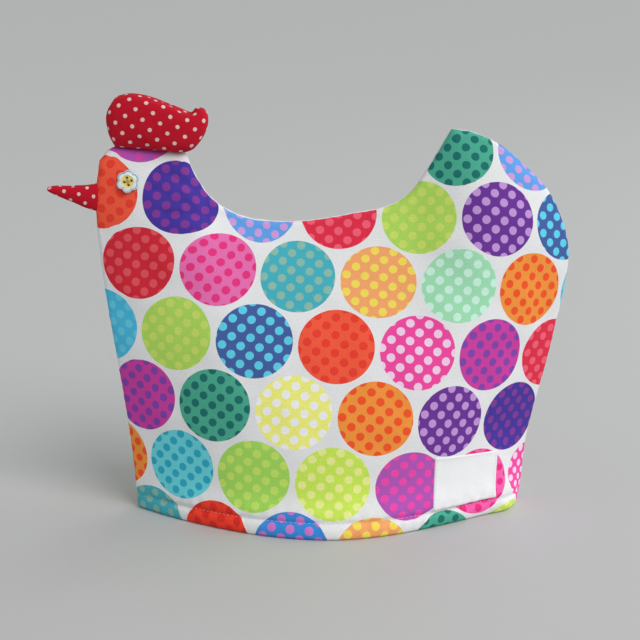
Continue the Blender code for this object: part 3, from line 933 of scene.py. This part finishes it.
def button_piece(name, node, material):
    """A petalled face, a rounded lower edge and a flat back."""
    middle, out, right, up = button_frame(node)
    share = np.linspace(0, 1, BUTTON_RINGS + 1)[1:, None] ** RING_POWER
    angle = np.linspace(0, 2 * math.pi, BUTTON_SECTORS, endpoint=False)
    petal_radius = BUTTON_RADIUS - PETAL_DEPTH * (1 - petal_wave(angle) ** PETAL_POWER)
    petal_share = ramp(share, *PETAL_START)
    radius = share * (petal_radius * petal_share + BUTTON_RADIUS * (1 - petal_share))
    x = radius * np.cos(angle)
    y = radius * np.sin(angle)
    face = np.stack([x, y, button_height(share, radius, angle, x, y)], -1)
    under = [face[-1] * (size, size, 0) + (0, 0, height) for size, height in BUTTON_UNDER]
    tips = [(0, 0, button_height(0, 0, 0, 0, 0)), (0, 0, BUTTON_UNDER[-1][1])]
    places = np.vstack([stacked(face), *under, tips])
    points = middle - out * BUTTON_THICK / 2 + places @ np.array([right, up, out])
    index = np.arange(len(points) - 2).reshape(-1, BUTTON_SECTORS)
    wrapped = np.c_[index, index[:, :1]]
    faces = grid_quads(wrapped)
    for ring, tip in ((wrapped[0], index.size), (wrapped[-1], index.size + 1)):
        faces += [[start, end, tip] for start, end in zip(ring.tolist(), ring[1:].tolist())]
    rim = face[-1, :, :2]
    return new_piece(name, points, faces, [material],
                     np.vstack([stacked(face)[:, :2], rim, rim, np.zeros((2, 2))]))


def button_thread(name, node, material):
    """Two crossed pairs of thread between the button's holes."""
    middle, out, right, up = button_frame(node)
    holes = [middle + (BUTTON_THICK / 2 - THREAD_BELOW) * out + x * right + y * up
             for x, y in HOLES]
    threads = []
    for start, end, above in ((holes[0], holes[2], 0), (holes[1], holes[3], THREAD_CROSSING)):
        beside = np.cross(unit(end - start), out)
        for offset in (-THREAD_OFFSET, THREAD_OFFSET):
            shift = above * out + offset * beside
            threads.append(stitch_mesh(start + shift, end + shift, out, *BUTTON_STITCH))
    return new_piece(name, *joined(threads), [material])


# ---- materials
def ink(colour):
    """The cloth's own colour for an ink that looks so in the photo's light, in sRGB."""
    share = np.asarray(colour, float) / 255
    linear = np.where(share <= 0.04045, share / 12.92, ((share + 0.055) / 1.055) ** 2.4)
    return (*np.clip(linear / PAPER_WHITE, *INK_LIMITS), 1.0)


class Shader:
    """A material's nodes, with short calls for sums and mixes."""

    def __init__(self, name, roughness, sheen=0.0, specular=0.12):
        self.material = bpy.data.materials.new(name)
        self.material.use_nodes = True
        self.tree = self.material.node_tree
        self.inputs = self.tree.nodes["Principled BSDF"].inputs
        self.inputs["Roughness"].default_value = roughness
        self.inputs["Sheen Weight"].default_value = sheen
        self.inputs["Specular IOR Level"].default_value = specular

    def node(self, kind, values, **settings):
        """A new node with its settings, and a value or a link in each named socket."""
        made = self.tree.nodes.new("ShaderNode" + kind)
        for setting, choice in settings.items():
            setattr(made, setting, choice)
        for socket, value in values.items():
            if isinstance(value, bpy.types.NodeSocket):
                self.tree.links.new(value, made.inputs[socket])
            else:
                made.inputs[socket].default_value = value
        return made

    def math(self, operation, *values):
        return self.node("Math", dict(enumerate(values)), operation=operation).outputs[0]

    def weighted(self, first, weight, second, other, extra=0.0):
        """first times weight plus second times other plus extra."""
        inner = self.math("MULTIPLY_ADD", second, other, extra)
        return self.math("MULTIPLY_ADD", first, weight, inner)

    def length(self, across, along):
        return self.math("SQRT", self.weighted(across, across, along, along))

    def mix(self, share, first, second, blend="MIX"):
        values = {0: share, 6: first, 7: second}
        return self.node("Mix", values, data_type="RGBA", blend_type=blend).outputs[2]

    def cloth(self):
        """The flat cloth's place, and its u and v, in millimetres."""
        place = self.node("Attribute", {}, attribute_name="cloth").outputs["Vector"]
        split = self.node("SeparateXYZ", {0: place}).outputs
        return place, split[0], split[1]

    def noise(self, vector, scale, detail=2.0):
        values = {"Vector": vector, "Scale": scale, "Detail": detail}
        return self.node("TexNoise", values).outputs["Fac"]

    def fit(self, value, low, high, step="SMOOTHSTEP"):
        """0 at low and 1 at high."""
        values = {0: value, 1: low, 2: high}
        return self.node("MapRange", values, interpolation_type=step).outputs[0]

    def ramp(self, position, stops):
        """A stepped colour for each place from 0 to 1."""
        made = self.node("ValToRGB", {0: position})
        made.color_ramp.interpolation = "CONSTANT"
        elements = made.color_ramp.elements
        elements[0].position, elements[0].color = stops[0]
        elements[1].position, elements[1].color = stops[1]
        for place, colour in stops[2:]:
            elements.new(place).color = colour
        return made.outputs[0]

    def finish(self, colour, height, depth):
        """The shader's colour, and its fine relief, depth millimetres deep."""
        values = {"Strength": 1.0, "Distance": depth * MM, "Height": height}
        self.tree.links.new(self.node("Bump", values).outputs[0], self.inputs["Normal"])
        self.tree.links.new(colour, self.inputs["Base Color"])
        return self.material

    def woven(self, cloth, colour, pitch, slub_scale, weave_tone, slub_tone, base, depth):
        """A plain weave of slubbed yarn; the tones are shares of the colour."""
        vector, u, v = cloth
        warp, weft = (self.math("SINE", self.math("MULTIPLY", way, 2 * math.pi / pitch))
                      for way in (u, v))
        weave = self.math("MULTIPLY_ADD", self.math("MULTIPLY", warp, weft), 0.5, 0.5)
        slub = self.noise(vector, slub_scale, 4.0)
        tone = self.weighted(weave, weave_tone, slub, slub_tone, base)
        grey = self.node("CombineColor", dict.fromkeys(range(3), tone)).outputs[0]
        return self.finish(self.mix(1.0, colour, grey, "MULTIPLY"),
                           self.math("MULTIPLY_ADD", slub, SLUB_RELIEF, weave), depth)

    def wobbled(self, cloth, scale, size):
        """The cloth's u and v with a print's uneven edges, size millimetres in all."""
        vector, u, v = cloth
        wobble = self.math("MULTIPLY_ADD", self.noise(vector, scale), size, -size / 2)
        return self.math("ADD", u, wobble), self.math("SUBTRACT", v, wobble)


def lattice_distance(shader, u, v, step_a, step_b, first):
    """The distance to the nearest point of a lattice of spots."""
    size = step_a[0] * step_b[1] - step_a[1] * step_b[0]
    to_a = (step_b[1] / size, -step_b[0] / size)
    to_b = (-step_a[1] / size, step_a[0] / size)
    near = []
    for way in (to_a, to_b):
        offset = -(way[0] * first[0] + way[1] * first[1])
        steps = shader.weighted(u, way[0], v, way[1], offset)
        near.append(shader.math("SUBTRACT", steps, shader.math("ROUND", steps)))
    return shader.length(shader.weighted(near[0], step_a[0], near[1], step_b[0]),
                         shader.weighted(near[0], step_a[1], near[1], step_b[1]))


def dot_rows(shader, along, down, spot, parity):
    """Every second row of dots: how far into a dot a place is, and its ink."""
    row_pitch = DOT_PITCH * math.sqrt(0.75) * ROW_SHARE
    half_row = shader.math("MULTIPLY_ADD", down, 0.5 / row_pitch, -0.5 * parity)
    row = shader.math("MULTIPLY_ADD", shader.math("ROUND", half_row), 2.0, float(parity))
    share = shader.math("MULTIPLY_ADD", along, 1 / DOT_PITCH, -0.5 * parity)
    column = shader.math("ROUND", share)
    dx = shader.math("MULTIPLY", shader.math("SUBTRACT", share, column), DOT_PITCH)
    dy = shader.math("MULTIPLY_ADD", row, row_pitch, shader.math("MULTIPLY", down, -1.0))
    distance = shader.length(shader.math("MULTIPLY_ADD", dy, ROW_SHEAR, dx),
                             shader.math("MULTIPLY", dy, 1 / DOT_HEIGHT))
    inside = shader.fit(distance, DOT_RADIUS + INK_EDGE, DOT_RADIUS - INK_EDGE)
    count = len(CHART[0])
    turned = shader.math("FLOORED_MODULO", column, float(count))
    pick = shader.math("MULTIPLY_ADD", spot, 0.5 / count,
                       shader.math("MULTIPLY_ADD", turned, 1 / count, 0.25 / count))
    here = shader.math("FLOORED_MODULO", row, float(len(CHART)))
    colour = CLOTH_WHITE
    for number in range(parity, len(CHART), 2):
        inks = [ink(own) for name in CHART[number] for own in INKS[name]]
        stops = [(place / len(inks), own) for place, own in enumerate(inks)]
        matches = shader.math("COMPARE", here, float(number), 0.5)
        colour = shader.mix(matches, colour, shader.ramp(pick, stops))
    return inside, colour


def print_material():
    """White cotton printed with large dots, each filled with small spots."""
    shader = Shader("printed_cotton_cloth", 0.9, 0.03)
    cloth = shader.cloth()
    u, v = shader.wobbled(cloth, scale=1.6, size=0.30)
    cosine, sine = math.cos(ROW_TURN), math.sin(ROW_TURN)
    shift_u = -(cosine * FIRST_DOT[0] + sine * FIRST_DOT[1])
    shift_v = sine * FIRST_DOT[0] - cosine * FIRST_DOT[1]
    turned = shader.weighted(u, cosine, v, sine, shift_u)
    upward = shader.weighted(u, -sine, v, cosine, shift_v)
    along = shader.math("MULTIPLY_ADD", upward, -ROW_SHEAR, turned)
    down = shader.math("MULTIPLY", upward, -1.0)
    distance = lattice_distance(shader, u, v, SPOT_STEP_A, SPOT_STEP_B, FIRST_SPOT)
    spot = shader.fit(distance, SPOT_RADIUS + SPOT_EDGE, SPOT_RADIUS - SPOT_EDGE, "LINEAR")
    colour = CLOTH_WHITE
    for parity in (0, 1):
        inside, inks = dot_rows(shader, along, down, spot, parity)
        colour = shader.mix(inside, colour, inks)
    blotch = shader.noise(cloth[0], 0.12, 3.0)
    base = shader.math("MULTIPLY_ADD", blotch, BLOTCH_TONE, 0.79)
    return shader.woven(cloth, colour, pitch=0.46, slub_scale=0.9, weave_tone=0.06,
                        slub_tone=0.30, base=base, depth=0.06)


def plain_cotton(name, colour, pitch, roughness=0.88):
    """Undyed cotton with its weave and a little unevenness."""
    shader = Shader(name, roughness, 0.05)
    return shader.woven(shader.cloth(), colour, pitch, slub_scale=0.8, weave_tone=0.08,
                        slub_tone=0.14, base=0.86, depth=0.10)


def spotted_material():
    """Red cotton with small white pin spots."""
    shader = Shader("pin_spotted_cotton", 0.9, 0.02)
    cloth = shader.cloth()
    u, v = shader.wobbled(cloth, scale=2.2, size=0.36)
    step_x, step_y = PIN_STEP * math.cos(PIN_TURN), PIN_STEP * math.sin(PIN_TURN)
    distance = lattice_distance(shader, u, v, (step_x, step_y), (-step_y, step_x), (0, 0))
    spot = shader.fit(distance, PIN_RADIUS + PIN_EDGE, PIN_RADIUS - PIN_EDGE)
    red = shader.mix(shader.noise(cloth[0], 0.35, 3.0), *PIN_REDS)
    colour = shader.mix(spot, red, PIN_WHITE)
    return shader.woven(cloth, colour, pitch=0.40, slub_scale=1.1, weave_tone=0.10,
                        slub_tone=0.16, base=0.84, depth=0.08)


def button_material():
    """Painted resin: white petals, a blue line and rim, a yellow middle, and painted shade in
    the holes.
    """
    shader = Shader("painted_resin", 0.28, specular=0.5)
    shader.inputs["Coat Weight"].default_value = 0.35
    shader.inputs["Coat Roughness"].default_value = 0.12
    vector, x, y = shader.cloth()
    radius = shader.length(x, y)
    turn = shader.math("MULTIPLY_ADD", shader.math("ARCTAN2", y, x), BUTTON_PETALS / 2,
                       -PETAL_TURN * BUTTON_PETALS / 2)
    wave = shader.math("ABSOLUTE", shader.math("SINE", turn))
    reach = shader.math("MULTIPLY_ADD", shader.math("POWER", wave, PETAL_POWER), PETAL_DEPTH,
                        BUTTON_RADIUS - PETAL_DEPTH)
    blur = shader.math("MULTIPLY_ADD", shader.noise(vector, 1.3), PAINT_BLUR,
                       -PAINT_BLUR / 2)
    inset = shader.math("ADD", shader.math("SUBTRACT", reach, radius), blur)
    colour = shader.mix(shader.fit(inset, *RIM_PAINT), PETAL_RIM, PETAL_LINE)
    colour = shader.mix(shader.fit(inset, *LINE_PAINT), colour, PETAL_WHITE)
    middle = shader.fit(shader.math("ADD", radius, blur), CENTRE_RADIUS + PAINT_EDGE,
                        CENTRE_RADIUS - PAINT_EDGE)
    colour = shader.mix(middle, colour, BUTTON_YELLOW)
    # Painted shade: each hole is filled with near-black brown, for the shade deep inside it.
    for hole_x, hole_y in HOLES:
        distance = shader.length(shader.math("SUBTRACT", x, hole_x),
                                 shader.math("SUBTRACT", y, hole_y))
        hole = shader.fit(distance, HOLE_RADIUS + HOLE_SHADE_EDGE[0], HOLE_RADIUS + HOLE_SHADE_EDGE[1])
        colour = shader.mix(hole, colour, HOLE_SHADE_COLOUR)
    return shader.finish(colour, shader.noise(vector, 2.5, 3.0), 0.05)


def thread_material(name, colour):
    """Twisted sewing thread."""
    shader = Shader(name, 0.6, 0.15)
    place = shader.node("TexCoord", {}).outputs["Object"]
    twist = shader.noise(place, TWIST_SCALE)
    dark = (*np.multiply(colour[:3], THREAD_SHADE), 1)
    return shader.finish(shader.mix(twist, dark, colour), twist, 0.08)


# ---- the stage, in metres
def floor():
    """A plain pale floor that reaches past the view."""
    mesh = bpy.data.meshes.new("floor")
    corners = [(x * FLOOR_REACH, y * FLOOR_REACH, 0)
               for x, y in ((-1, -1), (1, -1), (1, 1), (-1, 1))]
    mesh.from_pydata(corners, [], [(0, 1, 2, 3)])
    material = bpy.data.materials.new("pale_floor")
    material.use_nodes = True
    shader = material.node_tree.nodes["Principled BSDF"]
    shader.inputs["Base Color"].default_value = FLOOR_GREY
    shader.inputs["Roughness"].default_value = 0.75
    mesh.materials.append(material)
    linked("floor", mesh)


def lamp(name, kind, tint, power, way):
    """A light that shines from the given way towards the object."""
    light = bpy.data.lights.new(name, kind)
    light.energy = power
    light.color = tint
    item = linked(name, light)
    item.rotation_euler = Vector(way).to_track_quat("Z", "Y").to_euler()
    return item


def lights():
    for name, tint, power, way in SUNS:
        lamp(name, "SUN", tint, power, way).data.angle = SUN_SOFTNESS
    for name, tint, power, place, size in FILLS:
        fill = lamp(name, "AREA", tint, power, Vector(place) - Vector(FILL_AIM))
        fill.location = place
        fill.data.shape = "DISK"
        fill.data.size = size
    world = bpy.data.worlds.new("studio")
    world.use_nodes = True
    sky = world.node_tree.nodes["Background"]
    sky.inputs["Color"].default_value = SKY_TINT
    sky.inputs["Strength"].default_value = SKY_STRENGTH
    bpy.context.scene.world = world
    bpy.context.scene.view_settings.view_transform = "Standard"


def camera():
    lens = bpy.data.cameras.new("camera")
    lens.lens = CAMERA_LENS
    lens.sensor_width = CAMERA_SENSOR
    lens.clip_end = CAMERA_REACH
    eye = linked("camera", lens)
    eye.location = CAMERA_PLACE
    eye.rotation_euler = (CAMERA_TILT, 0, CAMERA_TURN)
    bpy.context.scene.camera = eye


# ---- putting it together
def main():
    camera()
    lights()
    floor()
    panel_cloths = [
        print_material(),
        plain_cotton("plain_white_cotton", LINING_WHITE, 0.5),
        plain_cotton("white_seam_edge", SEAM_WHITE, 0.5),
    ]
    spotted = spotted_material()
    resin = button_material()
    label_tape = plain_cotton("woven_white_tape", TAPE_WHITE, 0.62, 0.7)
    light_thread = thread_material("light_thread", (0.72, 0.68, 0.66, 1))
    tan_thread = thread_material("tan_thread", (0.62, 0.38, 0.20, 1))
    white_thread = thread_material("white_thread", (0.80, 0.80, 0.80, 1))

    for name, side, seed, shift, node in (
            ("front_cloth", -1, 11, (0, 0), "panel_front"),
            ("back_cloth", 1, 47, BACK_SHIFT, "panel_back")):
        cloth, outer, normals, height = panel_piece(name, side, seed, shift, panel_cloths)
        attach(cloth, "root")
        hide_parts(node)
        line, facing = (part[HEM_STITCH_ENDS:-HEM_STITCH_ENDS]
                        for part in row_points(outer, normals, height, STITCH_HEIGHT))
        row = stitch_row(line, facing, *HEM_STITCH, seed + 5)
        stitches = new_piece(name.replace("cloth", "hem_stitches"), *row, [light_thread])
        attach(stitches, "root")
        if side < 0:
            front = cloth

    bpy.context.view_layer.update()
    tree = BVHTree.FromObject(front, bpy.context.evaluated_depsgraph_get())
    label, high, out = label_piece(tree, label_tape)
    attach(label, "root")
    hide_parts("label_patch")
    sewing = label_stitches(high, out, white_thread)
    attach(sewing, "root")

    comb = pillow_piece("comb_cushion", (COMB_BASE, COMB_TOP, COMB_FRONT, COMB_BACK),
                        COMB_HALF_DEPTH, (110, 70), (30, 20), COMB_PIN, 5, spotted)
    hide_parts("comb")
    beak_ends = [(BEAK_LOWER[end], BEAK_UPPER[end]) for end in (0, -1)]
    beak = pillow_piece("beak_cushion", (BEAK_LOWER, BEAK_UPPER, *beak_ends),
                        BEAK_HALF_DEPTH, (70, 40), (20, 10), BEAK_PIN, 9, spotted,
                        BEAK_SQUEEZE)
    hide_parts("beak")
    for piece, fill in ((comb, 0.9), (beak, 0.9)):
        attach(piece, "root")

    for side in ("front", "back"):
        node = "eye_button_" + side
        button = button_piece("flower_button_" + side, node, resin)
        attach(button, "root")
        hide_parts(node)
        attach(button_thread("button_thread_" + side, node, tan_thread), "root")


main()
